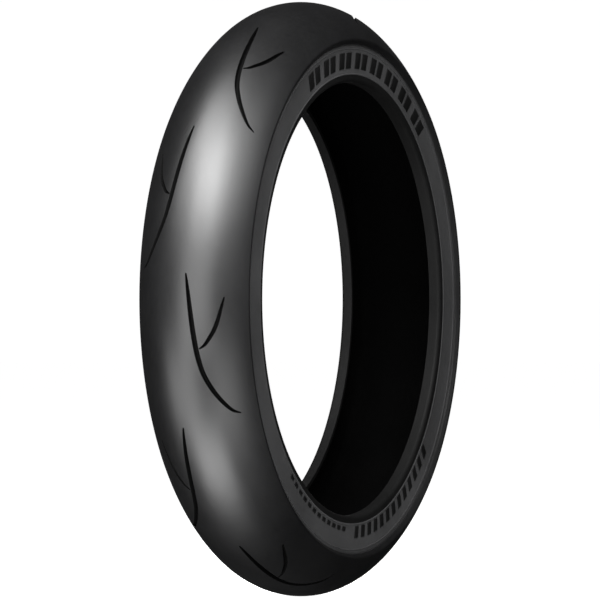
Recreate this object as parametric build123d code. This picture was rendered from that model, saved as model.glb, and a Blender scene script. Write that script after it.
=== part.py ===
from build123d import *

import os
from math import atan2, cos, degrees, radians, sin, sqrt, tan

# Front motorcycle tyre, 120/70 on a 17 inch rim, standing upright off the rim.
# Millimetres. The wheel centre is the origin, +Y is the spin axis and +Z is up.
# Left is the +Y side and right is the -Y side.
# Sections are drawn for one half as (radius, side), where side is the distance from the mid-plane.

# Outside of the tyre
OUTER_RADIUS = 300.0
CROWN_ARC = 62.0  # radius of the tread's middle arc, seen in section
CROWN_TURN = 40.0  # degrees of that arc on each side of the mid-plane
SHOULDER_ARC = 95.0  # flatter arc out to the tread edge
SHOULDER_TURN = 58.0  # degrees from the mid-plane where it ends
LIP_ARC = 3.0  # rounded edge of the tread
LIP_TURN = 126.0
TREAD_EDGE = (257.0, 57.3)  # lowest, outermost corner of the tread rubber
SIDE_FACE = 55.4  # the flat sidewall, from the mid-plane

# Bead
SEAT_RADIUS = 218.3  # half of the 436.6 mm seat of a 17 inch rim
HEEL_ARC = 4.0
TOE_SIDE = 43.6  # the toe of the bead, from the mid-plane
CHAFER = 1.2
CHAFER_TOP = 226.0
CORE_TOP = 225.9
LOW_TURN_UP = 236.0  # where the outer ply's turned-up edge ends
HIGH_TURN_UP = 246.0  # where the inner ply's ends
LINER_FOOT = 224.0  # where the lining ends

# Thicknesses, counted outwards from the face that holds the air
CROWN_THICK = 12.0
WALL_THICK = 6.0
LINER = 1.2
PLY = 0.9
BELT = 1.4
UNDERTREAD = 1.2
CASING = LINER + 2 * PLY  # the face of the outer ply
BELT_TOP = CASING + BELT
BASE_TOP = BELT_TOP + UNDERTREAD
BELT_END = 45.0  # degrees along the shoulder arc where the wound belt ends

# Air side of the casing
HOOP_ARC = 15.0  # where the crown turns down into the wall
BEND_ARC = 60.0  # where the wall leans in to the bead
BEND_START = 249.4  # radius at which it starts
LEAN = 15.0  # degrees of that lean

# Steel
CORD = 1.0  # across the flats of one belt cord turn, drawn six-sided
CORD_PITCH = 2.4
CORD_TURNS_PER_SIDE = 18
HEX_TURN = 30.0  # degrees that set a cord's flats along the belt
WIRE = 1.1  # across the flats of one bead wire, drawn six-sided
WIRE_PITCH = 1.32
WIRE_ROWS = 3
WIRE_COVER = 0.3  # rubber between the wires and the plies

# Tread pattern: six hooked groove pairs a side, the left side half a pitch on from the right
UNITS = 6
UNIT_START = 4.5  # degrees from -X towards +Z
UNIT_PITCH = 360.0 / UNITS
GROOVE_DEPTH = 5.2
EDGE_DEPTH = 3.0  # groove depth near the tread edge
FADE_START = 20.0  # distance from the crown line where grooves begin to get shallower
FADE_LENGTH = 32.0
TIP_SHARE = 0.6  # depth at a groove's two ends, over its depth elsewhere
NARROWEST_FLOOR = 0.25  # smallest half width of a groove's floor
GROOVE_DRAFT = 6.0  # degrees each groove wall leans
CLEAR = 3.0  # how far a cutter stands above the tread
# (degrees round the tyre, distance from the crown line, half width)
HOOK_GROOVE = (
    (0.0, 8.0, 0.7),
    (-3.0, 10.2, 1.5),
    (-7.0, 12.6, 2.0),
    (-11.0, 14.8, 2.2),
    (-15.0, 17.4, 2.2),
    (-18.5, 21.2, 2.1),
    (-21.3, 26.8, 2.0),
    (-23.8, 33.5, 1.8),
    (-25.9, 40.5, 1.5),
    (-27.3, 46.5, 1.1),
    (-28.0, 52.0, 0.6),
)
INNER_GROOVE = (
    (-4.5, 46.0, 0.7),
    (-6.4, 43.2, 1.3),
    (-8.6, 39.8, 1.7),
    (-10.6, 35.4, 1.8),
    (-12.2, 30.0, 1.6),
    (-13.3, 25.6, 1.2),
    (-13.8, 21.8, 0.7),
)

# Raised bands on the right sidewall, as plain slanted blocks.
# Angles are degrees from +Z towards +X. Offsets and widths run round the tyre.
MARK_RAISE = 0.6
MARK_ROOT = 0.4  # how deep a block is rooted in the wall
MARK_SLANT = 0.22  # sideways lean per unit of height
# (inner radius, outer radius, first angle, pitch, count, offsets of the blocks at each angle, width)
UPPER_BAND = (232.5, 248.5, -23.4, 9.25, 8, (-8.2, 8.2), 12.0)
LOWER_BAND = (229.0, 241.0, 131.5, 3.9, 13, (0.0,), 8.5)
SMALL_BAND = (230.0, 234.5, 186.0, 3.1, 12, (0.0,), 7.5)
EDGE_RIB = (252.0, 253.0)
RIM_RIB = (226.4, 227.4)
RIB_RAISE = 0.5

AXIS_R = OUTER_RADIUS - CROWN_ARC  # centre of the crown arc
CROWN_CENTRE = (AXIS_R, 0.0)
SHOULDER_CENTRE = (
    AXIS_R + (CROWN_ARC - SHOULDER_ARC) * cos(radians(CROWN_TURN)),
    (CROWN_ARC - SHOULDER_ARC) * sin(radians(CROWN_TURN)),
)
AIR_WALL = SIDE_FACE - WALL_THICK
HOOP_SIDE = AIR_WALL - HOOP_ARC
HOOP_REACH = SHOULDER_ARC - CROWN_THICK - HOOP_ARC  # between the two arcs' centres
HOOP_CENTRE = (
    SHOULDER_CENTRE[0] + sqrt(HOOP_REACH**2 - (HOOP_SIDE - SHOULDER_CENTRE[1]) ** 2),
    HOOP_SIDE,
)
HOOP_TURN = degrees(
    atan2(HOOP_CENTRE[1] - SHOULDER_CENTRE[1], HOOP_CENTRE[0] - SHOULDER_CENTRE[0])
)
BEND_CENTRE = (BEND_START, AIR_WALL - BEND_ARC)
# The tread rubber and the sidewall meet on a line square to the layers, at the foot of the tread's step.
JOINT_TURN = degrees(
    atan2(SIDE_FACE - HOOP_CENTRE[1], TREAD_EDGE[0] - HOOP_CENTRE[0])
)


def at(centre, radius, turn):
    """The point at an angle from the radial direction, round a centre."""
    return (
        centre[0] + radius * cos(radians(turn)),
        centre[1] + radius * sin(radians(turn)),
    )


def arc(centre, radius, start, end):
    low, high = min(start, end), max(start, end)
    return CenterArc(centre, radius, low, high - low)


def lean_side(depth, radius):
    """Side position of a layer on the leaning part of the bead."""
    foot = at(BEND_CENTRE, BEND_ARC + depth, 90 + LEAN)
    return foot[1] + (radius - foot[0]) * tan(radians(LEAN))


def crown_edges(depth, end_turn):
    """A layer's edge from the mid-plane to an angle, on the shoulder arc or further out on the hoop arc."""
    crown = CROWN_ARC - CROWN_THICK + depth
    shoulder = SHOULDER_ARC - CROWN_THICK + depth
    edges = [arc(CROWN_CENTRE, crown, 0, CROWN_TURN)]
    if end_turn <= HOOP_TURN:
        return edges + [arc(SHOULDER_CENTRE, shoulder, CROWN_TURN, end_turn)]
    return edges + [
        arc(SHOULDER_CENTRE, shoulder, CROWN_TURN, HOOP_TURN),
        arc(HOOP_CENTRE, HOOP_ARC + depth, HOOP_TURN, end_turn),
    ]


def bend_edges(depth, top, bottom):
    """A layer's edge down the wall from one radius to another, along the bend and then the lean."""
    foot = at(BEND_CENTRE, BEND_ARC + depth, 90 + LEAN)
    edges = []
    turn = 90.0
    if top > BEND_START:
        edges.append(Line((top, AIR_WALL + depth), (BEND_START, AIR_WALL + depth)))
    elif top > foot[0]:
        rise = (top - BEND_START) / (BEND_ARC + depth)
        turn = degrees(atan2(sqrt(1 - rise**2), rise))
    if top > foot[0]:
        edges.append(arc(BEND_CENTRE, BEND_ARC + depth, turn, 90 + LEAN))
        start = foot
    else:
        start = (top, lean_side(depth, top))
    return edges + [Line(start, (bottom, lean_side(depth, bottom)))]


def bend_side(depth, radius):
    """Side position of a layer at a radius on the bend."""
    return BEND_CENTRE[1] + sqrt((BEND_ARC + depth) ** 2 - (radius - BEND_START) ** 2)


# The plies fold round the wire core on two corners that every layer shares.
CORE_CORNER = HEEL_ARC - CHAFER - 2 * PLY
CORNER_RADIUS = SEAT_RADIUS + HEEL_ARC
HEEL_CORNER = (CORNER_RADIUS, SIDE_FACE - HEEL_ARC)
TOE_CORNER = (CORNER_RADIUS, lean_side(CASING + CORE_CORNER, CORNER_RADIUS))
TOE_POINT = (SEAT_RADIUS, TOE_SIDE)
TOE_TURN = degrees(
    atan2(TOE_POINT[1] - TOE_CORNER[1], TOE_POINT[0] - TOE_CORNER[0])
)
LEAN_NORMAL = -90.0 + LEAN  # direction from a layer on the lean towards the air side
OUTER_LEG = SIDE_FACE - CHAFER  # outside face of the turned-up inner ply
INNER_LEG = OUTER_LEG - PLY
CORE_SIDE = INNER_LEG - PLY  # outside face of the wire core


def fold_edges(cover, top):
    """Round the wire core with so much cover, from the lean under the core and up the outside."""
    size = CORE_CORNER + cover
    side = HEEL_CORNER[1] + size
    bottom = CORNER_RADIUS - size
    return [
        arc(TOE_CORNER, size, -180, LEAN_NORMAL),
        Line((bottom, TOE_CORNER[1]), (bottom, HEEL_CORNER[1])),
        arc(HEEL_CORNER, size, 90, 180),
        Line((CORNER_RADIUS, side), (top, side)),
    ]


def ply_edges(cover, top):
    """One face of a ply, from the mid-plane round the bead to its turned-up edge."""
    depth = CASING - cover
    start = at(TOE_CORNER, CORE_CORNER + cover, LEAN_NORMAL)
    down = bend_edges(depth, HOOP_CENTRE[0], start[0])
    return crown_edges(depth, 90) + down + fold_edges(cover, top)


def crown_radius(depth):
    return AXIS_R + CROWN_ARC - CROWN_THICK + depth


def both_halves(half):
    """Joins a half section to its mirror image across the mid-plane."""
    return half + mirror(half, Plane.XZ)


def ring(face):
    """Turns a section about the spin axis."""
    return revolve(face, Axis.Y, 360)


def layer(low, high, end_turn):
    """A layer under the tread, between two depths, out to an angle."""
    centre = HOOP_CENTRE if end_turn > HOOP_TURN else SHOULDER_CENTRE
    arm = HOOP_ARC if end_turn > HOOP_TURN else SHOULDER_ARC - CROWN_THICK
    edges = crown_edges(low, end_turn) + crown_edges(high, end_turn)
    edges.append(Line(at(centre, arm + low, end_turn), at(centre, arm + high, end_turn)))
    edges.append(Line((crown_radius(low), 0), (crown_radius(high), 0)))
    return make_face(edges)


def belt_cord(turn):
    """One hoop of the wound belt cord; turns count from the middle one, and are positive to the left."""
    depth = CASING + BELT / 2
    crown = CROWN_ARC - CROWN_THICK + depth
    shoulder = SHOULDER_ARC - CROWN_THICK + depth
    hand = 1 if turn >= 0 else -1
    along = abs(turn) * CORD_PITCH
    middle = crown * radians(CROWN_TURN)
    if along <= middle:
        angle = degrees(along / crown)
        radius, side = at(CROWN_CENTRE, crown, angle)
    else:
        angle = CROWN_TURN + degrees((along - middle) / shoulder)
        radius, side = at(SHOULDER_CENTRE, shoulder, angle)
    spin = hand * angle + HEX_TURN
    section = RegularPolygon(CORD / 2, 6, major_radius=False, rotation=spin)
    return ring(Pos(radius, hand * side) * section)


def bead_wire(row, column):
    """One hoop of a bead's wire core; rows count up from the seat, columns in from the outside."""
    radius = CORNER_RADIUS - CORE_CORNER + WIRE_COVER + WIRE / 2 + row * WIRE_PITCH
    side = CORE_SIDE - WIRE_COVER - WIRE / 2 - column * WIRE_PITCH
    return ring(Pos(radius, side) * RegularPolygon(WIRE / 2, 6, major_radius=False))


def tread_point(distance):
    """Radius, side and surface angle of the tread at a distance from the crown line."""
    middle = CROWN_ARC * radians(CROWN_TURN)
    if distance <= middle:
        turn = degrees(distance / CROWN_ARC)
        return (*at(CROWN_CENTRE, CROWN_ARC, turn), turn)
    turn = CROWN_TURN + degrees((distance - middle) / SHOULDER_ARC)
    return (*at(SHOULDER_CENTRE, SHOULDER_ARC, turn), turn)


def on_tread(angle, distance, hand):
    """The point and the outward normal at an angle round the tyre; hand is +1 for left, -1 for right."""
    radius, side, turn = tread_point(distance)
    out = Vector(-cos(radians(angle)), 0, sin(radians(angle)))
    across = Vector(0, hand, 0)
    point = out * radius + across * side
    return point, out * cos(radians(turn)) + across * sin(radians(turn))


def groove_depth(distance):
    share = min(max((distance - FADE_START) / FADE_LENGTH, 0.0), 1.0)
    return GROOVE_DEPTH + (EDGE_DEPTH - GROOVE_DEPTH) * share


def groove_cutter(stations, start, hand):
    """A tapered channel along a path on the tread, standing a little above it."""
    spots = [on_tread(start + a, d, hand) for a, d, _ in stations]
    sections = []
    for i, (_, distance, half) in enumerate(stations):
        point, normal = spots[i]
        ahead = spots[min(i + 1, len(spots) - 1)][0] - spots[max(i - 1, 0)][0]
        across = normal.cross(ahead).normalized()
        depth = groove_depth(distance)
        if i in (0, len(stations) - 1):
            depth *= TIP_SHARE
        top = half + CLEAR * tan(radians(GROOVE_DRAFT))
        floor = max(half - depth * tan(radians(GROOVE_DRAFT)), NARROWEST_FLOOR)
        corners = [
            point + normal * CLEAR + across * top,
            point + normal * CLEAR - across * top,
            point - normal * depth - across * floor,
            point - normal * depth + across * floor,
        ]
        sections.append(Face(Wire.make_polygon(corners)))
    return loft(sections)


def raised_block(angle, low, high, offset, width):
    """A slanted block on the right sidewall."""
    middle = (low + high) / 2
    corners = []
    for radius, side in ((low, -1), (low, 1), (high, 1), (high, -1)):
        along = offset + side * width / 2 + (radius - middle) * MARK_SLANT
        turn = radians(angle) + along / middle
        corners.append((radius * sin(turn), radius * cos(turn)))
    sketch = Plane.XZ.offset(SIDE_FACE - MARK_ROOT) * Polygon(*corners, align=None)
    return extrude(sketch, MARK_ROOT + MARK_RAISE)


def rib(low, high):
    """The outline of a thin raised rib on the side face, from its top radius to its bottom radius."""
    proud = SIDE_FACE + RIB_RAISE
    return [(high, SIDE_FACE), (high, proud), (low, proud), (low, SIDE_FACE)]


def save(name, shape):
    solids = shape.solids()
    keep = solids[0] if len(solids) == 1 else Compound(children=list(solids))
    keep.label = name
    export_step(keep, f"parts/{name}.step")
    print(name, len(solids), round(sum(s.volume for s in solids)))


def save_pair(name, shape):
    """The half is drawn on the +Y side, so it is the left piece, and its mirror image the right."""
    save(f"{name}_left", shape)
    save(f"{name}_right", mirror(shape, Plane.XZ))


os.makedirs("parts", exist_ok=True)

# Tread rubber, with its grooves
SKIN = [
    arc(CROWN_CENTRE, CROWN_ARC, 0, CROWN_TURN),
    arc(SHOULDER_CENTRE, SHOULDER_ARC, CROWN_TURN, SHOULDER_TURN),
]
LIP_CENTRE = at(SHOULDER_CENTRE, SHOULDER_ARC - LIP_ARC, SHOULDER_TURN)
STEP_FOOT = (TREAD_EDGE[0], SIDE_FACE)
cap_half = make_face(
    SKIN
    + [
        arc(LIP_CENTRE, LIP_ARC, SHOULDER_TURN, LIP_TURN),
        Line(at(LIP_CENTRE, LIP_ARC, LIP_TURN), TREAD_EDGE),
        Line(TREAD_EDGE, STEP_FOOT),
        Line(STEP_FOOT, at(HOOP_CENTRE, HOOP_ARC + BASE_TOP, JOINT_TURN)),
        Line((crown_radius(BASE_TOP), 0), (OUTER_RADIUS, 0)),
    ]
    + crown_edges(BASE_TOP, JOINT_TURN)
)
tread_cap = ring(both_halves(cap_half))
cutters = []
for hand, lag in ((-1, 0.0), (1, UNIT_PITCH / 2)):
    for unit in range(UNITS):
        start = UNIT_START + lag + unit * UNIT_PITCH
        cutters.append(groove_cutter(HOOK_GROOVE, start, hand))
        cutters.append(groove_cutter(INNER_GROOVE, start, hand))
for cutter in cutters:
    tread_cap = tread_cap - cutter
save("tread_cap", tread_cap)

# Layers under the tread
save("undertread", ring(both_halves(layer(BELT_TOP, BASE_TOP, JOINT_TURN))))
skim = ring(both_halves(layer(CASING, BELT_TOP, BELT_END)))
cords = [belt_cord(t) for t in range(-CORD_TURNS_PER_SIDE, CORD_TURNS_PER_SIDE + 1)]
save("belt_cords", Compound(children=[s for c in cords for s in c.solids()]))
for cord in cords:
    skim = skim - cord
save("belt_skim", skim)

strip_edges = [
    arc(SHOULDER_CENTRE, SHOULDER_ARC - CROWN_THICK + CASING, BELT_END, HOOP_TURN),
    arc(HOOP_CENTRE, HOOP_ARC + CASING, HOOP_TURN, JOINT_TURN),
    Line(
        at(HOOP_CENTRE, HOOP_ARC + CASING, JOINT_TURN),
        at(HOOP_CENTRE, HOOP_ARC + BELT_TOP, JOINT_TURN),
    ),
    arc(HOOP_CENTRE, HOOP_ARC + BELT_TOP, HOOP_TURN, JOINT_TURN),
    arc(SHOULDER_CENTRE, SHOULDER_ARC - CROWN_THICK + BELT_TOP, BELT_END, HOOP_TURN),
    Line(
        at(SHOULDER_CENTRE, SHOULDER_ARC - CROWN_THICK + CASING, BELT_END),
        at(SHOULDER_CENTRE, SHOULDER_ARC - CROWN_THICK + BELT_TOP, BELT_END),
    ),
]
save_pair("belt_edge_strip", ring(make_face(strip_edges)))

# Two plies, each folded round the bead wires and turned up outside them
for name, cover, top in (
    ("ply_outer", 0.0, LOW_TURN_UP),
    ("ply_inner", PLY, HIGH_TURN_UP),
):
    side = HEEL_CORNER[1] + CORE_CORNER + cover
    half = make_face(
        ply_edges(cover, top)
        + ply_edges(cover + PLY, top)
        + [
            Line((top, side), (top, side + PLY)),
            Line(
                (crown_radius(CASING - cover - PLY), 0),
                (crown_radius(CASING - cover), 0),
            ),
        ]
    )
    save(name, ring(both_halves(half)))

# Airtight lining
liner_half = make_face(
    crown_edges(0, 90)
    + bend_edges(0, HOOP_CENTRE[0], LINER_FOOT)
    + crown_edges(LINER, 90)
    + bend_edges(LINER, HOOP_CENTRE[0], LINER_FOOT)
    + [
        Line(
            (LINER_FOOT, lean_side(0, LINER_FOOT)),
            (LINER_FOOT, lean_side(LINER, LINER_FOOT)),
        ),
        Line((crown_radius(0), 0), (crown_radius(LINER), 0)),
    ]
)
save("inner_liner", ring(both_halves(liner_half)))

# Sidewall rubber
outside = [
    STEP_FOOT,
    *rib(*EDGE_RIB),
    *rib(*RIM_RIB),
    (CHAFER_TOP, SIDE_FACE),
    (CHAFER_TOP, OUTER_LEG),
    (HIGH_TURN_UP, OUTER_LEG),
    (HIGH_TURN_UP, bend_side(CASING, HIGH_TURN_UP)),
]
rise = degrees(atan2(HIGH_TURN_UP - BEND_START, bend_side(CASING, HIGH_TURN_UP) - BEND_CENTRE[1]))
sidewall = ring(
    make_face(
        [Line(a, b) for a, b in zip(outside, outside[1:])]
        + [
            arc(BEND_CENTRE, BEND_ARC + CASING, 90, 90 - rise),
            Line(
                (BEND_START, AIR_WALL + CASING), (HOOP_CENTRE[0], AIR_WALL + CASING)
            ),
            arc(HOOP_CENTRE, HOOP_ARC + CASING, JOINT_TURN, 90),
            Line(at(HOOP_CENTRE, HOOP_ARC + CASING, JOINT_TURN), STEP_FOOT),
        ]
    )
)
save("sidewall_left", sidewall)
marked = mirror(sidewall, Plane.XZ)
for low, high, first, pitch, count, offsets, width in (UPPER_BAND, LOWER_BAND, SMALL_BAND):
    for place in range(count):
        for offset in offsets:
            block = raised_block(first + place * pitch, low, high, offset, width)
            marked = marked + block
save("sidewall_right", marked)

# Filler above the wire core, between the outer ply and its own turned-up edge
filler_outline = [
    (CORE_TOP, lean_side(CASING, CORE_TOP)),
    (CORE_TOP, CORE_SIDE),
    (LOW_TURN_UP, CORE_SIDE),
    (LOW_TURN_UP, INNER_LEG),
    (HIGH_TURN_UP, INNER_LEG),
    (HIGH_TURN_UP, bend_side(CASING, HIGH_TURN_UP)),
]
filler = make_face(
    [Line(a, b) for a, b in zip(filler_outline, filler_outline[1:])]
    + bend_edges(CASING, HIGH_TURN_UP, CORE_TOP)
)
save_pair("bead_filler", ring(filler))

# Wire core: nine hoops in rubber
start = at(TOE_CORNER, CORE_CORNER, LEAN_NORMAL)
coat = make_face(
    fold_edges(0, CORE_TOP)
    + [
        Line((CORE_TOP, CORE_SIDE), (CORE_TOP, lean_side(CASING, CORE_TOP))),
        Line((CORE_TOP, lean_side(CASING, CORE_TOP)), start),
    ]
)
coat = ring(coat)
wires = [bead_wire(row, column) for row in range(WIRE_ROWS) for column in range(WIRE_ROWS)]
for wire in wires:
    coat = coat - wire
save_pair("bead_coat", coat)
save_pair("bead_wires", Compound(children=[s for w in wires for s in w.solids()]))

# Chafer: the hard rubber that sits on the rim, from the toe round the heel
cover = 2 * PLY
leg = HEEL_CORNER[1] + CORE_CORNER + cover
bottom = CORNER_RADIUS - CORE_CORNER - cover
split = at(TOE_CORNER, CORE_CORNER + cover, TOE_TURN)
chafer = make_face(
    [
        Line((CHAFER_TOP, leg), (CHAFER_TOP, SIDE_FACE)),
        Line((CHAFER_TOP, SIDE_FACE), (CORNER_RADIUS, SIDE_FACE)),
        arc(HEEL_CORNER, HEEL_ARC, 90, 180),
        Line((SEAT_RADIUS, HEEL_CORNER[1]), TOE_POINT),
        Line(TOE_POINT, split),
        arc(TOE_CORNER, CORE_CORNER + cover, -180, TOE_TURN),
        Line((bottom, TOE_CORNER[1]), (bottom, HEEL_CORNER[1])),
        arc(HEEL_CORNER, CORE_CORNER + cover, 90, 180),
        Line((CORNER_RADIUS, leg), (CHAFER_TOP, leg)),
    ]
)
save_pair("chafer", ring(chafer))

# Toe strip: closes the end of the lining at the toe
flat_top = LINER_FOOT + (TOE_SIDE - lean_side(0, LINER_FOOT)) / tan(radians(LEAN))
lean_start = at(TOE_CORNER, CORE_CORNER + cover, LEAN_NORMAL)
toe_strip = make_face(
    [
        Line(TOE_POINT, (flat_top, TOE_SIDE)),
        Line((flat_top, TOE_SIDE), (LINER_FOOT, lean_side(0, LINER_FOOT))),
        Line(
            (LINER_FOOT, lean_side(0, LINER_FOOT)),
            (LINER_FOOT, lean_side(LINER, LINER_FOOT)),
        ),
        Line((LINER_FOOT, lean_side(LINER, LINER_FOOT)), lean_start),
        arc(TOE_CORNER, CORE_CORNER + cover, TOE_TURN, LEAN_NORMAL),
        Line(split, TOE_POINT),
    ]
)
save_pair("toe_strip", ring(toe_strip))
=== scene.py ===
import math

import bmesh
import bpy
import numpy as np
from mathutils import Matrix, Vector
from mathutils.geometry import delaunay_2d_cdt


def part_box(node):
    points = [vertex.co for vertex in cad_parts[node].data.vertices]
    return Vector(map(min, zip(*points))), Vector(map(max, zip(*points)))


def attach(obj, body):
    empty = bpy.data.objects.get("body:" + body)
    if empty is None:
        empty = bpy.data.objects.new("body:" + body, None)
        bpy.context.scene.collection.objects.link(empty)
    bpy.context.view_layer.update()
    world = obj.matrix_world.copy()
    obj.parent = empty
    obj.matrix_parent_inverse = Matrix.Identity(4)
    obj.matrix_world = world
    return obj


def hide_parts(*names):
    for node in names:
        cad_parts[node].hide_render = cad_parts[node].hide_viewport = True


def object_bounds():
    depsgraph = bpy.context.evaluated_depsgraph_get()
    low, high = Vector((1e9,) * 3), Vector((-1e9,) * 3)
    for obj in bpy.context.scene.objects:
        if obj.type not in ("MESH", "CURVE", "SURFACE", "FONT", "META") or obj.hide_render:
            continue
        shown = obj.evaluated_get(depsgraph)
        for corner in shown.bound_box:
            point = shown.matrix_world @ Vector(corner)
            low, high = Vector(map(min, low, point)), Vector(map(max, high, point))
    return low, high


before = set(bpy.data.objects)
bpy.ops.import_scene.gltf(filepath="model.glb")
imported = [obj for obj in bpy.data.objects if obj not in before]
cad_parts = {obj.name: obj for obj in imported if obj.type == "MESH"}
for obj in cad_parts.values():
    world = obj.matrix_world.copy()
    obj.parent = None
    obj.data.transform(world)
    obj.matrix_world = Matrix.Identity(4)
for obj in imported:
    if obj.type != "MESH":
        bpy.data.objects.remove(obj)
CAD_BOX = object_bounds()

# The looks of a 120/70-17 front motorcycle tyre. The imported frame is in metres, with the wheel
# centre at the origin, +Y along the spin axis and +Z up. Left is +Y and right is -Y.
# Sections are written in millimetres as (radius, side), side being the distance from the mid-plane.

MM = 0.001
BODY = "root"

# Outside of the tyre
OUTER_RADIUS = round(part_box("tread_cap")[1].z / MM)
CROWN_ARC = 62.0
CROWN_TURN = 40.0
SHOULDER_ARC = 95.0
SHOULDER_TURN = 58.0
LIP_ARC = 3.0
LIP_TURN = 126.0
TREAD_EDGE = (257.0, 57.3)
SIDE_FACE = 55.4

# Bead
SEAT_RADIUS = 218.3
HEEL_ARC = 4.0
TOE_SIDE = 43.6
CHAFER = 1.2
CHAFER_TOP = 226.0
HIGH_TURN_UP = 246.0
LINER_FOOT = 224.0

# Layers, counted outwards from the air side
CROWN_THICK = 12.0
WALL_THICK = 6.0
LINER = 1.2
CASING = 3.0
BASE_TOP = 5.6
HOOP_ARC = 15.0
BEND_ARC = 60.0
BEND_START = 249.4
LEAN = 15.0

# Derived centres of the section's arcs
AXIS_R = OUTER_RADIUS - CROWN_ARC
CROWN_CENTRE = (AXIS_R, 0.0)
CROWN_LENGTH = CROWN_ARC * math.radians(CROWN_TURN)
HALF_TREAD = CROWN_LENGTH + SHOULDER_ARC * math.radians(SHOULDER_TURN - CROWN_TURN)
SHOULDER_CENTRE = (
    AXIS_R + (CROWN_ARC - SHOULDER_ARC) * math.cos(math.radians(CROWN_TURN)),
    (CROWN_ARC - SHOULDER_ARC) * math.sin(math.radians(CROWN_TURN)),
)
AIR_WALL = SIDE_FACE - WALL_THICK
HOOP_SIDE = AIR_WALL - HOOP_ARC
HOOP_REACH = SHOULDER_ARC - CROWN_THICK - HOOP_ARC
HOOP_CENTRE = (
    SHOULDER_CENTRE[0] + math.sqrt(HOOP_REACH**2 - (HOOP_SIDE - SHOULDER_CENTRE[1]) ** 2),
    HOOP_SIDE,
)
HOOP_TURN = math.degrees(
    math.atan2(HOOP_CENTRE[1] - SHOULDER_CENTRE[1], HOOP_CENTRE[0] - SHOULDER_CENTRE[0])
)
BEND_CENTRE = (BEND_START, AIR_WALL - BEND_ARC)
JOINT_TURN = math.degrees(math.atan2(SIDE_FACE - HOOP_CENTRE[1], TREAD_EDGE[0] - HOOP_CENTRE[0]))
CORNER_RADIUS = SEAT_RADIUS + HEEL_ARC
HEEL_CORNER = (CORNER_RADIUS, SIDE_FACE - HEEL_ARC)
CORE_CORNER = 1.0
FOLD = HEEL_ARC - CHAFER  # radius of the outer ply fold at the heel and toe corners

# Tread pattern, as in the CAD: (degrees round the tyre, distance from the crown line, half width)
UNITS = 6
UNIT_PITCH = 360.0 / UNITS
UNIT_START = 4.5
TILE_START = -24.5  # a line round the section that no groove crosses
GROOVE_DEPTH = 5.2
EDGE_DEPTH = 3.0
FADE_START = 20.0
FADE_LENGTH = 32.0
DRAFT = math.tan(math.radians(6.0))
HOOK_GROOVE = (
    (0.0, 8.0, 0.7),
    (-3.0, 10.2, 1.5),
    (-7.0, 12.6, 2.0),
    (-11.0, 14.8, 2.2),
    (-15.0, 17.4, 2.2),
    (-18.5, 21.2, 2.1),
    (-21.3, 26.8, 2.0),
    (-23.8, 33.5, 1.8),
    (-25.9, 40.5, 1.5),
    (-27.3, 46.5, 1.1),
    (-28.0, 52.0, 0.6),
)
INNER_GROOVE = (
    (-4.5, 46.0, 0.7),
    (-6.4, 43.2, 1.3),
    (-8.6, 39.8, 1.7),
    (-10.6, 35.4, 1.8),
    (-12.2, 30.0, 1.6),
    (-13.3, 25.6, 1.2),
    (-13.8, 21.8, 0.7),
)
EDGE_ROUND = 0.45  # rounding of a groove's top edge
ARC_CUT = 0.134  # share of its size that a rounded edge has dropped at a third of its turn
FLOOR_LEAST = 0.35  # least half width of a groove's floor, over the half width at its top
FILLET = 1.0  # fillet between a groove's wall and its floor
END_DEPTH = 0.6  # share of the full depth at a groove's end
END_RISE = 0.1  # share gained at each row on from the end
TIP_LENGTH = 2.5
TIP_REACHES = (0.35, 0.65, 0.87, 1.0)  # shares of the tip's length at which it has a row
TIP_LEAST = 0.004  # least squared size of a tip's row, which keeps the last one open
TIP_POWER = 1.5  # how a tip's depth falls with its width
SKIN_SLOT, GROOVE_SLOT = 0, 1  # the tread mesh's material slots
COLUMNS = 80  # columns of the tread's grid in one pitch
ROWS = 38
GRID_GAP = 1.2  # least distance of a grid point from a groove
LIP_STEPS = 12
WELD_SCALE = 1e7  # corners in metres that round to the same point at this scale are one
AROUND = COLUMNS * UNITS

# Raised bands of the right sidewall, as in the CAD: (inner radius, outer radius, first angle, pitch,
# count, offsets of the blocks at each angle, width)
MARK_RAISE = 0.6
MARK_ROOT = 0.2
MARK_SLANT = 0.22
MARK_ROUND = 0.3
UPPER_BAND = (232.5, 248.5, -23.4, 9.25, 8, (-8.2, 8.2), 12.0)
LOWER_BAND = (229.0, 241.0, 131.5, 3.9, 13, (0.0,), 8.5)
SMALL_BAND = (230.0, 234.5, 186.0, 3.1, 12, (0.0,), 7.5)

# Ribs of the sidewalls: (inner radius, outer radius)
EDGE_RIB = (252.0, 253.0)
RIM_RIB = (226.4, 227.4)
RIB_RAISE = 0.5
RIB_FLANK = 0.15  # how far a rib's foot stands out beyond its top, on each side
RIB_FOOT_ROUND = 0.2
RIB_TOP_ROUND = 0.25
RIB_HIGHLIGHT_START = 0.1  # height above the sidewall at which the painted highlight on a rib's top begins
RING_PITCH = 0.0009  # metres between the fine moulded rings of the sidewalls


# ---------- section helpers ----------

def at(centre, radius, turn):
    turn = math.radians(turn)
    return (centre[0] + radius * math.cos(turn), centre[1] + radius * math.sin(turn))


def arc_points(centre, radius, start, end, step=6.0):
    """Points along an arc, its ends included, about so many degrees apart."""
    count = max(1, round(abs(end - start) / step))
    return [at(centre, radius, start + (end - start) * i / count) for i in range(count + 1)]


def lean_side(depth, radius):
    foot = at(BEND_CENTRE, BEND_ARC + depth, 90 + LEAN)
    return foot[1] + (radius - foot[0]) * math.tan(math.radians(LEAN))


def bend_side(depth, radius):
    return BEND_CENTRE[1] + math.sqrt((BEND_ARC + depth) ** 2 - (radius - BEND_START) ** 2)


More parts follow.
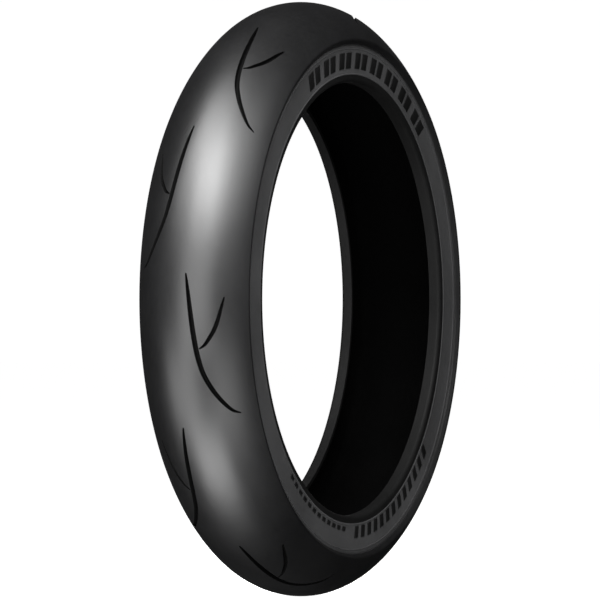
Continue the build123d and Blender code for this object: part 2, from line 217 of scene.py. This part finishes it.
def crown_points(depth, end_turn):
    """A layer's line from the mid-plane out to an angle on the hoop arc."""
    crown = arc_points(CROWN_CENTRE, CROWN_ARC - CROWN_THICK + depth, 0, CROWN_TURN, 4)
    shoulder = arc_points(
        SHOULDER_CENTRE, SHOULDER_ARC - CROWN_THICK + depth, CROWN_TURN, HOOP_TURN, 3
    )
    hoop = arc_points(HOOP_CENTRE, HOOP_ARC + depth, HOOP_TURN, end_turn, 5)
    return crown + shoulder[1:] + hoop[1:]


def wall_points(depth, foot):
    """A layer's line down the wall from the end of the hoop arc to a radius on the lean."""
    bend = arc_points(BEND_CENTRE, BEND_ARC + depth, 90, 90 + LEAN, 3)
    return bend + [(foot, lean_side(depth, foot))]


def rounded(points, corners):
    """The outline with some corners replaced by arcs.

    corners maps a point's place in the list to the size of its arc."""
    out = []
    for i, point in enumerate(points):
        size = corners.get(i)
        if not size:
            out.append(point)
            continue
        here = Vector(point)
        before = (Vector(points[i - 1]) - here).normalized() * size
        after = (Vector(points[(i + 1) % len(points)]) - here).normalized() * size
        for t in (0.0, 0.25, 0.5, 0.75, 1.0):
            p = here + before * (1 - t) ** 2 + after * t**2
            out.append((p.x, p.y))
    return out


# ---------- mesh helpers ----------

def turned(section, turns, hand):
    """Rows of (radius, side) turned about the spin axis, one row of points for each turn."""
    x = -np.cos(turns)[:, None] * section[:, 0]
    z = np.sin(turns)[:, None] * section[:, 0]
    y = np.broadcast_to(hand * section[:, 1], x.shape)
    return np.stack([x, y, z], axis=2)


def quads_of(grid):
    """The four corners of each cell of a grid."""
    cells = [grid[:-1, :-1], grid[1:, :-1], grid[1:, 1:], grid[:-1, 1:]]
    return np.stack(cells, axis=2).reshape(-1, 4, 3)


def weld(name, parts):
    """One mesh from arrays of faces: each part is (corner positions, corner normals, material slot) in
    metres, with zero normals where Blender should work them out."""
    points = np.concatenate([p.reshape(-1, 3) for p, _, _ in parts])
    normals = np.concatenate([n.reshape(-1, 3) for _, n, _ in parts])
    keys = np.round(points * WELD_SCALE).astype(np.int64)
    _, first, where = np.unique(keys, axis=0, return_index=True, return_inverse=True)
    where = where.reshape(-1)
    faces, loops, slots, at_corner = [], [], [], 0
    for p, _, slot in parts:
        sides = p.shape[1]
        for row in range(p.shape[0]):
            start = at_corner + row * sides
            ids = where[start : start + sides].tolist()
            keep = [k for k in range(sides) if ids[k] != ids[k - 1]]
            if len(keep) < 3:
                continue
            faces.append([ids[k] for k in keep])
            slots.append(slot)
            loops.extend(start + k for k in keep)
        at_corner += p.shape[0] * sides
    mesh = bpy.data.meshes.new(name)
    mesh.from_pydata(points[first].tolist(), [], faces)
    mesh.polygons.foreach_set("material_index", slots)
    mesh.shade_smooth()
    mesh.validate()
    if len(mesh.loops) == len(loops):
        mesh.normals_split_custom_set(normals[loops].tolist())
    return mesh


def add_object(name, mesh, materials, nodes):
    """A piece of the tyre that stands for some CAD nodes."""
    for material in materials:
        mesh.materials.append(material)
    obj = bpy.data.objects.new(name, mesh)
    bpy.context.scene.collection.objects.link(obj)
    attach(obj, BODY)
    if nodes:
        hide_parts(*nodes)


def ring(name, outline, hand, sharp=35.0):
    """A closed section turned about the spin axis; hand is +1 for left, -1 for right."""
    section = np.array(outline) * MM
    turns = np.linspace(0, 2 * math.pi, AROUND, endpoint=False)
    points = turned(section, turns, hand).reshape(-1, 3)
    count = len(outline)
    area = sum(
        outline[i - 1][0] * outline[i][1] - outline[i][0] * outline[i - 1][1] for i in range(count)
    )
    faces = []
    for i in range(AROUND):
        here, ahead = i * count, (i + 1) % AROUND * count
        for j in range(count):
            k = (j + 1) % count
            face = [here + j, ahead + j, ahead + k, here + k]
            faces.append(face if hand * area < 0 else face[::-1])
    mesh = bpy.data.meshes.new(name)
    mesh.from_pydata(points.tolist(), [], faces)
    mesh.shade_smooth()
    mesh.set_sharp_from_angle(angle=math.radians(sharp))
    return mesh


# ---------- tread ----------

def tread_surface(along, distance):
    """Positions and normals in metres, from lengths in mm round the crown and across it."""
    angle = along / OUTER_RADIUS
    side = np.sign(distance)
    away = np.abs(distance)
    on_crown = away <= CROWN_LENGTH
    turn = np.where(
        on_crown,
        away / CROWN_ARC,
        math.radians(CROWN_TURN) + (away - CROWN_LENGTH) / SHOULDER_ARC,
    )
    arm = np.where(on_crown, CROWN_ARC, SHOULDER_ARC)
    radius = np.where(on_crown, CROWN_CENTRE[0], SHOULDER_CENTRE[0]) + arm * np.cos(turn)
    out = np.where(on_crown, CROWN_CENTRE[1], SHOULDER_CENTRE[1]) + arm * np.sin(turn)
    points = np.stack([-radius * np.cos(angle), side * out, radius * np.sin(angle)], axis=-1)
    normals = np.stack(
        [-np.cos(turn) * np.cos(angle), side * np.sin(turn), np.cos(turn) * np.sin(angle)], axis=-1
    )
    return points * MM, normals


def radius_share(distance):
    """Radius of the tread at a distance from the crown line, over the outer radius."""
    point, _ = tread_surface(np.array([0.0]), np.array([abs(distance)]))
    return -point[0][0] / MM / OUTER_RADIUS


def smooth_rows(rows, per_span=5):
    """Extra rows along a curve through the given ones."""
    rows = [np.array(r, float) for r in rows]
    out = []
    for i in range(len(rows) - 1):
        a, b, c, d = rows[max(i - 1, 0)], rows[i], rows[i + 1], rows[min(i + 2, len(rows) - 1)]
        for k in range(per_span):
            t = k / per_span
            out.append(
                0.5 * (2 * b + (c - a) * t + (2 * a - 5 * b + 4 * c - d) * t**2)
                + 0.5 * (3 * b - a - 3 * c + d) * t**3
            )
    return out + [rows[-1]]


def groove_depth(distance):
    share = min(max((abs(distance) - FADE_START) / FADE_LENGTH, 0.0), 1.0)
    return GROOVE_DEPTH + (EDGE_DEPTH - GROOVE_DEPTH) * share


def groove_stations(template, start, hand):
    """[along, distance, direction ahead, radius share, half width, depth] at each station of a groove,
    its tips included."""
    rows = smooth_rows(template)
    path = [
        np.array([math.radians(start + a) * OUTER_RADIUS, hand * d, w]) for a, d, w in rows
    ]
    stations = []
    for i, (along, distance, half) in enumerate(path):
        share = radius_share(distance)
        step = path[min(i + 1, len(path) - 1)] - path[max(i - 1, 0)]
        length = math.hypot(step[0] * share, step[1])
        ahead = (step[0] * share / length, step[1] / length)
        depth = groove_depth(distance)
        end = min(i, len(path) - 1 - i)
        depth *= min(1.0, END_DEPTH + END_RISE * end)
        stations.append([along, distance, ahead, share, half, depth])
    first, last = stations[0], stations[-1]
    before, after = [], []
    for reach in TIP_REACHES:
        size = math.sqrt(max(1 - reach**2, TIP_LEAST))
        for end, sign, group in ((first, -1, before), (last, 1, after)):
            along, distance, ahead, share, half, depth = end
            group.append(
                [
                    along + sign * ahead[0] * reach * TIP_LENGTH / share,
                    distance + sign * ahead[1] * reach * TIP_LENGTH,
                    ahead,
                    share,
                    half * size,
                    depth * size**TIP_POWER,
                ]
            )
    return before[::-1] + stations + after


def channel_profile(half, depth):
    """(offset, depth) across a groove: rounded edges, leaning walls and a filleted floor."""
    # narrow and shallow ends take smaller roundings
    edge = min(EDGE_ROUND, 0.45 * half, 0.5 * depth)
    floor = max(half - depth * DRAFT, FLOOR_LEAST * half)
    fillet = min(FILLET, 0.7 * floor, 0.4 * depth)
    side = [
        (half + edge, 0.0),
        (half + 0.5 * edge, ARC_CUT * edge),
        (half + ARC_CUT * edge, 0.5 * edge),
        (half, edge),
        (floor + 0.08 * fillet, depth - fillet),
        (floor - 0.22 * fillet, depth - 0.35 * fillet),
        (floor - 0.9 * fillet, depth),
    ]
    return [(-x, d) for x, d in side] + [(0.0, depth)] + side[::-1]


def channel_grid(stations):
    """Points of the channel in (along, distance, depth), one row per station."""
    grid = []
    for along, distance, ahead, share, half, depth in stations:
        row = []
        for offset, down in channel_profile(half, depth):
            row.append((along - ahead[1] * offset / share, distance + ahead[0] * offset, down))
        grid.append(row)
    return np.array(grid)


def place(grid):
    """Positions in metres of points given as (along, distance, depth below the tread)."""
    points, normals = tread_surface(grid[..., 0], grid[..., 1])
    return points - normals * grid[..., 2:3] * MM


def inside_loop(points, loop):
    """Which points lie inside a closed outline."""
    inside = np.zeros(len(points), bool)
    for a, b in zip(loop, np.roll(loop, -1, axis=0)):
        crosses = (a[1] > points[:, 1]) != (b[1] > points[:, 1])
        slope = (b[0] - a[0]) / (b[1] - a[1]) if b[1] != a[1] else 0.0
        inside ^= crosses & (points[:, 0] < a[0] + slope * (points[:, 1] - a[1]))
    return inside


def distance_to_loop(points, loop):
    nearest = np.full(len(points), 1e9)
    for a, b in zip(loop, np.roll(loop, -1, axis=0)):
        run = b - a
        share = np.clip(((points - a) @ run) / max(run @ run, 1e-12), 0, 1)
        nearest = np.minimum(nearest, np.linalg.norm(points - a - share[:, None] * run, axis=1))
    return nearest


def tread_tile():
    """Triangles and channel faces of one pitch of the tread, as arrays of corners in metres."""
    begin = math.radians(TILE_START) * OUTER_RADIUS
    length = math.radians(UNIT_PITCH) * OUTER_RADIUS
    channels = []
    for hand, lag in ((-1, 0.0), (1, UNIT_PITCH / 2)):
        for template in (HOOK_GROOVE, INNER_GROOVE):
            channels.append(channel_grid(groove_stations(template, UNIT_START + lag, hand)))
    loops = [np.concatenate([g[:, 0, :2], g[::-1, -1, :2]]) for g in channels]

    across = np.linspace(-HALF_TREAD, HALF_TREAD, ROWS + 1)
    along = begin + length * np.arange(COLUMNS + 1) / COLUMNS
    grid = np.array([(a, d) for a in along for d in across])
    border = np.isclose(grid[:, 0], along[0]) | np.isclose(grid[:, 0], along[-1])
    border |= np.isclose(np.abs(grid[:, 1]), HALF_TREAD)
    keep = np.ones(len(grid), bool)
    for loop in loops:
        keep &= ~inside_loop(grid, loop) & (distance_to_loop(grid, loop) > GRID_GAP)
    grid = grid[keep | border]
    edges, coords = [], [Vector(p) for p in grid]
    for loop in loops:
        start = len(coords)
        coords.extend(Vector(p) for p in loop)
        edges.extend((start + i, start + (i + 1) % len(loop)) for i in range(len(loop)))
    verts, _, faces, _, _, _ = delaunay_2d_cdt(coords, edges, [], 0, 1e-6)
    flat = np.array([tuple(v) for v in verts])
    triangles = np.array([f for f in faces if len(f) == 3])
    centres = flat[triangles].mean(axis=1)
    for loop in loops:
        hole = inside_loop(centres, loop)
        triangles, centres = triangles[~hole], centres[~hole]
    a, b, c = (flat[triangles[:, i]] for i in range(3))
    area = np.cross(b - a, c - a)
    triangles[area < 0] = triangles[area < 0][:, ::-1]
    triangles = triangles[np.abs(area) > 1e-9]
    points, normals = tread_surface(flat[:, 0], flat[:, 1])
    parts = [(points[triangles], normals[triangles], SKIN_SLOT)]
    for grid in channels:
        solid = place(grid)
        quads = quads_of(solid)
        if face_out(quads[len(quads) // 2]) < 0:
            quads = quads[:, ::-1]
        parts.append((quads, np.zeros_like(quads), GROOVE_SLOT))
        for end in (solid[0], solid[-1]):
            middle = end.mean(axis=0)
            fan = np.stack([end[:-1], end[1:], np.broadcast_to(middle, end[1:].shape)], axis=1)
            parts.append((fan, np.zeros_like(fan), GROOVE_SLOT))
    return parts


def face_out(quad):
    """Positive if a face near the floor of a channel looks away from the wheel's centre."""
    normal = np.cross(quad[1] - quad[0], quad[2] - quad[0])
    centre = quad.mean(axis=0)
    radial = np.array([centre[0], 0, centre[2]])
    return normal @ radial


def lip_rows():
    """(radius, side, normal radius, normal side) round the lip at the tread's edge."""
    centre = at(SHOULDER_CENTRE, SHOULDER_ARC - LIP_ARC, SHOULDER_TURN)
    rows = []
    for i in range(LIP_STEPS + 1):
        turn = SHOULDER_TURN + (LIP_TURN - SHOULDER_TURN) * i / LIP_STEPS
        rows.append((*at(centre, LIP_ARC, turn), *at((0.0, 0.0), 1.0, turn)))
    return rows


def tread_mesh():
    tile = tread_tile()
    parts = []
    for unit in range(UNITS):
        turn = math.radians(unit * UNIT_PITCH)
        c, s = math.cos(turn), math.sin(turn)
        spin = np.array([[c, 0, s], [0, 1, 0], [-s, 0, c]])
        for points, normals, slot in tile:
            parts.append((points @ spin.T, normals @ spin.T, slot))
    turns = math.radians(TILE_START) + 2 * math.pi * np.arange(AROUND + 1) / AROUND
    lip = lip_rows()
    foot = (TREAD_EDGE[0], SIDE_FACE)
    under = crown_points(BASE_TOP, JOINT_TURN)
    bottom = [lip[-1][:2], TREAD_EDGE, foot] + under[::-1]
    for hand in (1, -1):
        for rows, exact in ((lip, True), (bottom, False)):
            section = np.array(rows)
            quads = quads_of(turned(section, turns, hand) * MM)
            if exact:
                normals = quads_of(turned(section[:, 2:], turns, hand))
            else:
                flat = np.cross(quads[:, 1] - quads[:, 0], quads[:, 2] - quads[:, 0])
                flat /= np.maximum(np.linalg.norm(flat, axis=1, keepdims=True), 1e-12)
                normals = np.repeat(flat[:, None, :], 4, axis=1) * hand
            if hand < 0:
                quads, normals = quads[:, ::-1], normals[:, ::-1]
            parts.append((quads, normals, SKIN_SLOT))
    return weld("tread", parts)


# ---------- materials ----------

CLOUD_SCALE = 9.0
CLOUD_SHARE = 0.65
SPECK_SCALE = 260.0
SPECK_SHARE = 0.35
GRAIN_SCALE = 1400.0
GRAIN = 0.00008  # depth of the fine grain in metres
CORDS_AROUND = 1500.0  # cords round the tyre in the look of the plies


def grey(value):
    return (value, value, value)


def new_material(name):
    material = bpy.data.materials.new(name)
    material.use_nodes = True
    tree = material.node_tree
    shader = tree.nodes["Principled BSDF"]
    place_in = tree.nodes.new("ShaderNodeTexCoord").outputs["Object"]
    return material, tree, shader, place_in


def noise(tree, vector, scale, detail=4.0, rough=0.55):
    node = tree.nodes.new("ShaderNodeTexNoise")
    node.inputs["Scale"].default_value = scale
    node.inputs["Detail"].default_value = detail
    node.inputs["Roughness"].default_value = rough
    tree.links.new(vector, node.inputs["Vector"])
    return node.outputs["Fac"]


def remap(tree, value, low, high, start=0.3, end=0.7):
    node = tree.nodes.new("ShaderNodeMapRange")
    node.inputs["From Min"].default_value = start
    node.inputs["From Max"].default_value = end
    node.inputs["To Min"].default_value = low
    node.inputs["To Max"].default_value = high
    tree.links.new(value, node.inputs["Value"])
    return node.outputs["Result"]


def mix_colour(tree, factor, first, second):
    node = tree.nodes.new("ShaderNodeMix")
    node.data_type = "RGBA"
    node.inputs["A"].default_value = (*first, 1)
    node.inputs["B"].default_value = (*second, 1)
    tree.links.new(factor, node.inputs["Factor"])
    return node.outputs["Result"]


def math_node(tree, operation, first, second=None):
    node = tree.nodes.new("ShaderNodeMath")
    node.operation = operation
    for socket, value in zip(node.inputs, (first, second)):
        if value is None:
            continue
        if isinstance(value, (int, float)):
            socket.default_value = value
        else:
            tree.links.new(value, socket)
    return node.outputs["Value"]


def bump(tree, shader, height, strength, distance, before=None):
    node = tree.nodes.new("ShaderNodeBump")
    node.inputs["Strength"].default_value = strength
    node.inputs["Distance"].default_value = distance
    tree.links.new(height, node.inputs["Height"])
    if before is not None:
        tree.links.new(before, node.inputs["Normal"])
    tree.links.new(node.outputs["Normal"], shader.inputs["Normal"])
    return node.outputs["Normal"]


def rubber(name, dark, light, rough, spread, specular=0.5):
    """Moulded rubber: cloudy colour and sheen with a fine grain."""
    material, tree, shader, place_in = new_material(name)
    cloud = noise(tree, place_in, CLOUD_SCALE, 5.0, 0.6)
    speck = noise(tree, place_in, SPECK_SCALE, 3.0, 0.6)
    cloud_part = math_node(tree, "MULTIPLY", cloud, CLOUD_SHARE)
    speck_part = math_node(tree, "MULTIPLY", speck, SPECK_SHARE)
    tint = math_node(tree, "ADD", cloud_part, speck_part)
    tree.links.new(mix_colour(tree, remap(tree, tint, 0, 1), dark, light), shader.inputs["Base Color"])
    sheen = remap(tree, tint, rough - spread, rough + spread)
    tree.links.new(sheen, shader.inputs["Roughness"])
    shader.inputs["Specular IOR Level"].default_value = specular
    normal = bump(tree, shader, noise(tree, place_in, GRAIN_SCALE, 2.0), 0.6, GRAIN)
    bump(tree, shader, speck, 0.35, GRAIN * 1.5, normal)
    return material, tree, shader, place_in


def axes(tree, place_in):
    """The three coordinates of a point, in metres."""
    split = tree.nodes.new("ShaderNodeSeparateXYZ")
    tree.links.new(place_in, split.inputs["Vector"])
    return split.outputs["X"], split.outputs["Y"], split.outputs["Z"]


def wheel_radius(tree, x, z):
    """Distance in metres from the spin axis."""
    x_square = math_node(tree, "MULTIPLY", x, x)
    z_square = math_node(tree, "MULTIPLY", z, z)
    return math_node(tree, "SQRT", math_node(tree, "ADD", x_square, z_square))


def tread_rubber():
    dark, light = (0.0015, 0.0015, 0.0016), (0.0035, 0.0035, 0.0037)
    return rubber("tread_rubber_mat", dark, light, 0.39, 0.03)[0]


def groove_shade_rubber():
    """Rubber inside the grooves, darker and duller than the tread: painted shade in the recesses."""
    return rubber("groove_shade_rubber_mat", grey(0.001), grey(0.002), 0.7, 0.05, specular=0.03)[0]


def sidewall_rubber():
    material, tree, shader, place_in = rubber(
        "sidewall_rubber_mat", (0.012, 0.012, 0.0122), (0.024, 0.024, 0.0245), 0.66, 0.05, specular=0.06
    )
    x, y, z = axes(tree, place_in)
    radius = wheel_radius(tree, x, z)
    rings = math_node(tree, "SINE", math_node(tree, "MULTIPLY", radius, 2 * math.pi / RING_PITCH))
    before = shader.inputs["Normal"].links[0].from_socket
    bump(tree, shader, rings, 0.12, 0.00006, before)
    # painted highlight: the tops of the ribs are painted paler, standing in for light caught along them
    side = math_node(tree, "ABSOLUTE", y)
    rib_highlight_mask = remap(tree, side, 0, 1, (SIDE_FACE + RIB_HIGHLIGHT_START) * MM, (SIDE_FACE + RIB_RAISE) * MM)
    base = shader.inputs["Base Color"].links[0].from_socket
    painted_rib_highlight = mix_colour(tree, rib_highlight_mask, (0, 0, 0), (0.02, 0.02, 0.0204))
    tree.links.new(base, painted_rib_highlight.node.inputs["A"])
    tree.links.new(painted_rib_highlight, shader.inputs["Base Color"])
    return material


def block_rubber():
    return rubber("raised_rubber_mat", grey(0.001), grey(0.003), 0.55, 0.06, specular=0.04)[0]


def bead_rubber():
    return rubber("bead_rubber_mat", grey(0.002), grey(0.005), 0.6, 0.06, specular=0.06)[0]


# painted shade: the liner is near black with almost no sheen, darker than the tread rubber. This stands
# in for the shade inside the tyre, on top of the liner's own black.
def liner_shade_rubber():
    return rubber("liner_shade_rubber_mat", grey(0.0004), grey(0.001), 0.85, 0.08, specular=0.005)[0]


def inner_rubber(name, dark, light):
    return rubber(name, dark, light, 0.6, 0.08)[0]


def ply_fabric():
    """Rubbered cords side by side across the tyre."""
    material, tree, shader, place_in = rubber(
        "ply_fabric_mat", (0.05, 0.042, 0.03), (0.08, 0.066, 0.045), 0.62, 0.08
    )
    x, _, z = axes(tree, place_in)
    angle = math_node(tree, "ARCTAN2", z, x)
    cords = math_node(tree, "SINE", math_node(tree, "MULTIPLY", angle, CORDS_AROUND))
    bump(tree, shader, cords, 0.8, 0.0002)
    return material


def wire_steel():
    """Brassed steel strand with a fine drawn grain."""
    material, tree, shader, place_in = new_material("wire_steel_mat")
    streak = noise(tree, place_in, 700.0, 4.0)
    colour = mix_colour(tree, remap(tree, streak, 0, 1), (0.42, 0.33, 0.19), (0.6, 0.5, 0.32))
    tree.links.new(colour, shader.inputs["Base Color"])
    tree.links.new(remap(tree, streak, 0.25, 0.42), shader.inputs["Roughness"])
    shader.inputs["Metallic"].default_value = 1.0
    bump(tree, shader, streak, 0.3, 0.00003)
    return material


# ---------- pieces ----------

def sidewall_outline():
    step = [(TREAD_EDGE[0], SIDE_FACE)]
    for low, high in (EDGE_RIB, RIM_RIB):
        step.append((high + RIB_FLANK, SIDE_FACE))
        step.append((high, SIDE_FACE + RIB_RAISE))
        step.append((low, SIDE_FACE + RIB_RAISE))
        step.append((low - RIB_FLANK, SIDE_FACE))
    step.append((CHAFER_TOP, SIDE_FACE))
    feet = dict.fromkeys((1, 4, 5, 8), RIB_FOOT_ROUND)
    tops = dict.fromkeys((2, 3, 6, 7), RIB_TOP_ROUND)
    step = rounded(step, feet | tops)
    leg = SIDE_FACE - CHAFER
    inner = [(CHAFER_TOP, leg), (HIGH_TURN_UP, leg)]
    rise = math.degrees(
        math.atan2(HIGH_TURN_UP - BEND_START, bend_side(CASING, HIGH_TURN_UP) - BEND_CENTRE[1])
    )
    bend = arc_points(BEND_CENTRE, BEND_ARC + CASING, 90 - rise, 90, 1)
    hoop = arc_points(HOOP_CENTRE, HOOP_ARC + CASING, 90, JOINT_TURN, 4)
    return step + inner + bend + hoop


def toe_corner():
    return (CORNER_RADIUS, lean_side(CASING + CORE_CORNER, CORNER_RADIUS))


def toe_turn():
    corner = toe_corner()
    return math.degrees(math.atan2(TOE_SIDE - corner[1], SEAT_RADIUS - corner[0]))


def chafer_outline():
    corner = toe_corner()
    turn = toe_turn()
    heel = arc_points(HEEL_CORNER, HEEL_ARC, 90, 180, 9)
    outside = [(CHAFER_TOP, SIDE_FACE)] + heel + [(SEAT_RADIUS, TOE_SIDE)]
    under = arc_points(corner, FOLD, turn, -180, 10)
    inside = arc_points(HEEL_CORNER, FOLD, 180, 90, 10)
    return outside + under + inside + [(CHAFER_TOP, SIDE_FACE - CHAFER)]


def toe_outline():
    corner = toe_corner()
    flat_top = LINER_FOOT + (TOE_SIDE - lean_side(0, LINER_FOOT)) / math.tan(math.radians(LEAN))
    fold = arc_points(corner, FOLD, -90 + LEAN, toe_turn(), 10)
    outline = [
        (SEAT_RADIUS, TOE_SIDE),
        (flat_top, TOE_SIDE),
        (LINER_FOOT, lean_side(0, LINER_FOOT)),
        (LINER_FOOT, lean_side(LINER, LINER_FOOT)),
    ]
    return outline + fold


def liner_outline():
    air = crown_points(0, 90) + wall_points(0, LINER_FOOT)
    ply = crown_points(LINER, 90) + wall_points(LINER, LINER_FOOT)
    left = air[::-1]
    right = [(r, -s) for r, s in air[1:]]
    back = [(r, -s) for r, s in ply[::-1]]
    return left + right + back + ply[1:]


def block_corners(angle, low, high, offset, width):
    """The four corners of a slanted block, across and up in mm; angle is from +Z towards +X."""
    middle = (low + high) / 2
    corners = []
    for radius, side in ((low, -1), (low, 1), (high, 1), (high, -1)):
        along = offset + side * width / 2 + (radius - middle) * MARK_SLANT
        turn = math.radians(angle) + along / middle
        corners.append((radius * math.sin(turn), radius * math.cos(turn)))
    return corners


def all_blocks():
    """Every raised block of the right sidewall, as its four corners."""
    blocks = []
    for low, high, first, pitch, count, offsets, width in (UPPER_BAND, LOWER_BAND, SMALL_BAND):
        for place_number in range(count):
            for offset in offsets:
                angle = first + place_number * pitch
                blocks.append(block_corners(angle, low, high, offset, width))
    return blocks


def blocks_mesh():
    mesh = bmesh.new()
    back, face = -(SIDE_FACE - MARK_ROOT) * MM, -(SIDE_FACE + MARK_RAISE) * MM
    for corners in all_blocks():
        bottom = [mesh.verts.new((x * MM, back, z * MM)) for x, z in corners]
        top = [mesh.verts.new((x * MM, face, z * MM)) for x, z in corners]
        mesh.faces.new(top)
        mesh.faces.new(bottom[::-1])
        for i in range(4):
            j = (i + 1) % 4
            mesh.faces.new((bottom[i], bottom[j], top[j], top[i]))
    bmesh.ops.recalc_face_normals(mesh, faces=mesh.faces[:])
    under = [e for e in mesh.edges if all(abs(v.co.y - back) < 1e-6 for v in e.verts)]
    edges = [e for e in mesh.edges if e not in under]
    bmesh.ops.bevel(
        mesh, geom=edges, offset=MARK_ROUND * MM, segments=2, profile=0.5, affect="EDGES"
    )
    data = bpy.data.meshes.new("raised_bands_right")
    mesh.to_mesh(data)
    mesh.free()
    data.shade_smooth()
    data.set_sharp_from_angle(angle=math.radians(50))
    return data


tread_mat = tread_rubber()
groove_shade_mat = groove_shade_rubber()
side_mat = sidewall_rubber()
block_mat = block_rubber()
bead_mat = bead_rubber()
liner_shade_mat = liner_shade_rubber()

add_object("tread", tread_mesh(), [tread_mat, groove_shade_mat], ["tread_cap"])
for side, hand in (("left", 1), ("right", -1)):
    wall = ring(f"sidewall_{side}_skin", sidewall_outline(), hand)
    add_object(f"sidewall_{side}_skin", wall, [side_mat], [f"sidewall_{side}"])
    bead = ring(f"bead_{side}_skin", chafer_outline(), hand)
    add_object(f"bead_{side}_skin", bead, [bead_mat], [f"chafer_{side}"])
    toe = ring(f"toe_{side}_skin", toe_outline(), hand)
    add_object(f"toe_{side}_skin", toe, [bead_mat], [f"toe_strip_{side}"])
liner = ring("liner_skin", liner_outline(), 1)
add_object("liner_skin", liner, [liner_shade_mat], ["inner_liner"])
add_object("raised_bands_right", blocks_mesh(), [block_mat], [])

# Hidden layers keep their CAD shape
HIDDEN = {
    "undertread": inner_rubber("base_rubber_mat", (0.012, 0.012, 0.012), (0.022, 0.021, 0.02)),
    "belt_skim": inner_rubber("skim_rubber_mat", (0.016, 0.014, 0.012), (0.028, 0.025, 0.02)),
    "bead_filler": inner_rubber("filler_rubber_mat", (0.02, 0.018, 0.016), (0.034, 0.03, 0.026)),
    "ply": ply_fabric(),
    "steel": wire_steel(),
}
FINISH = {
    "undertread": "undertread",
    "belt_skim": "belt_skim",
    "belt_edge_strip_left": "belt_skim",
    "belt_edge_strip_right": "belt_skim",
    "belt_cords": "steel",
    "ply_outer": "ply",
    "ply_inner": "ply",
    "bead_filler_left": "bead_filler",
    "bead_filler_right": "bead_filler",
    "bead_coat_left": "bead_filler",
    "bead_coat_right": "bead_filler",
    "bead_wires_left": "steel",
    "bead_wires_right": "steel",
}
for node, finish in FINISH.items():
    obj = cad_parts[node]
    for slot in obj.material_slots:
        slot.material = HIDDEN[finish]

# ---------- camera, floor and lights ----------

VIEW_TURN = 24.28  # degrees from the plane of the wheel round to the right side
CAMERA_AWAY = 10.51
LENS = 624.5
SENSOR = 36.0
AIM = (-0.00333, -0.0009)  # how far right of and above the wheel's centre the camera looks
STAGE_RADIUS = 40.0
FLOOR_GAP = 0.0003

alpha = math.radians(VIEW_TURN)
BACK = Vector((-math.cos(alpha), -math.sin(alpha), 0))
RIGHT = Vector((math.sin(alpha), -math.cos(alpha), 0))
UP = Vector((0, 0, 1))


def add_camera():
    data = bpy.data.cameras.new("camera")
    data.lens = LENS
    data.sensor_width = SENSOR
    camera = bpy.data.objects.new("camera", data)
    bpy.context.scene.collection.objects.link(camera)
    aim = RIGHT * AIM[0] + UP * AIM[1]
    camera.location = aim + BACK * CAMERA_AWAY
    camera.rotation_euler = (-BACK).to_track_quat("-Z", "Y").to_euler()
    bpy.context.scene.camera = camera


def softbox(name, across, above, away, width, height, power):
    """An area light aimed at the tyre; across and above are degrees from the camera's direction."""
    data = bpy.data.lights.new(name, "AREA")
    data.shape = "RECTANGLE"
    data.size = width
    data.size_y = height
    data.energy = power
    light = bpy.data.objects.new(name, data)
    bpy.context.scene.collection.objects.link(light)
    a, e = math.radians(across), math.radians(above)
    toward = (BACK * math.cos(a) + RIGHT * math.sin(a)) * math.cos(e) + UP * math.sin(e)
    light.location = toward * away
    light.rotation_euler = toward.to_track_quat("Z", "Y").to_euler()
    return light


def light_only(lights, names):
    """Makes some lights fall on the named pieces alone, so that they lay no sheen on the tread."""
    receivers = bpy.data.collections.new("side_lit")
    for name in names:
        receivers.objects.link(bpy.data.objects[name])
    for light in lights:
        light.light_linking.receiver_collection = receivers


def stage_material(name):
    """A pale grey that glows white."""
    material = bpy.data.materials.new(name)
    material.use_nodes = True
    shader = material.node_tree.nodes["Principled BSDF"]
    shader.inputs["Base Color"].default_value = (*grey(0.9), 1)
    shader.inputs["Roughness"].default_value = 0.9
    shader.inputs["Specular IOR Level"].default_value = 0.1
    shader.inputs["Emission Color"].default_value = (1, 1, 1, 1)
    shader.inputs["Emission Strength"].default_value = 1.0
    return material


def add_stage_piece(name, mesh, height):
    """Puts a mesh on the stage at a height, out of the tyre's reflections and shadows."""
    data = bpy.data.meshes.new(name)
    mesh.to_mesh(data)
    mesh.free()
    data.materials.append(stage_material(f"{name}_mat"))
    obj = bpy.data.objects.new(name, data)
    obj.location = (0, 0, height)
    bpy.context.scene.collection.objects.link(obj)
    obj.visible_glossy = False
    obj.visible_diffuse = False
    obj.visible_shadow = False


def add_stage():
    """A pale floor under the tyre and a pale round backdrop far behind it."""
    mesh = bmesh.new()
    bmesh.ops.create_circle(mesh, cap_ends=True, segments=96, radius=STAGE_RADIUS)
    add_stage_piece("floor", mesh, CAD_BOX[0].z - FLOOR_GAP)
    mesh = bmesh.new()
    bmesh.ops.create_uvsphere(mesh, u_segments=64, v_segments=32, radius=STAGE_RADIUS)
    add_stage_piece("backdrop", mesh, 0)


add_camera()
add_stage()
softbox("key", -12, 40, 2.5, 1.5, 1.3, 104)
softbox("key_right", 16, 40, 2.5, 1.3, 1.3, 72)
softbox("far_right", 45, 40, 2.5, 1.3, 1.3, 22)
softbox("far_left", -48, 42, 2.5, 1.8, 1.3, 44)
softbox("top", -30, 62, 2.5, 2.0, 1.3, 84)
softbox("front", -18, -2, 2.5, 2.4, 1.5, 60)
softbox("low_left", -52, -30, 2.5, 2.2, 1.2, 42)
softbox("low_front", -22, -60, 2.5, 2.0, 1.1, 72)
softbox("low_right", 28, -30, 2.5, 1.5, 1.3, 26)
# close behind the far tread, where it hardly reaches what the camera sees
softbox("rear_fill", 172, 0, 0.7, 0.3, 0.4, 3)
side_lights = [
    softbox("side_low", 84, -60, 0.8, 0.5, 0.5, 5),
    softbox("side_high", 84, 60, 0.8, 0.5, 0.5, 5),
]
light_only(side_lights, ["sidewall_left_skin", "sidewall_right_skin", "raised_bands_right"])

world = bpy.data.worlds.new("world")
bpy.context.scene.world = world
world.use_nodes = True
world.node_tree.nodes["Background"].inputs["Color"].default_value = (0.001, 0.001, 0.001, 1)
bpy.context.scene.view_settings.view_transform = "Standard"
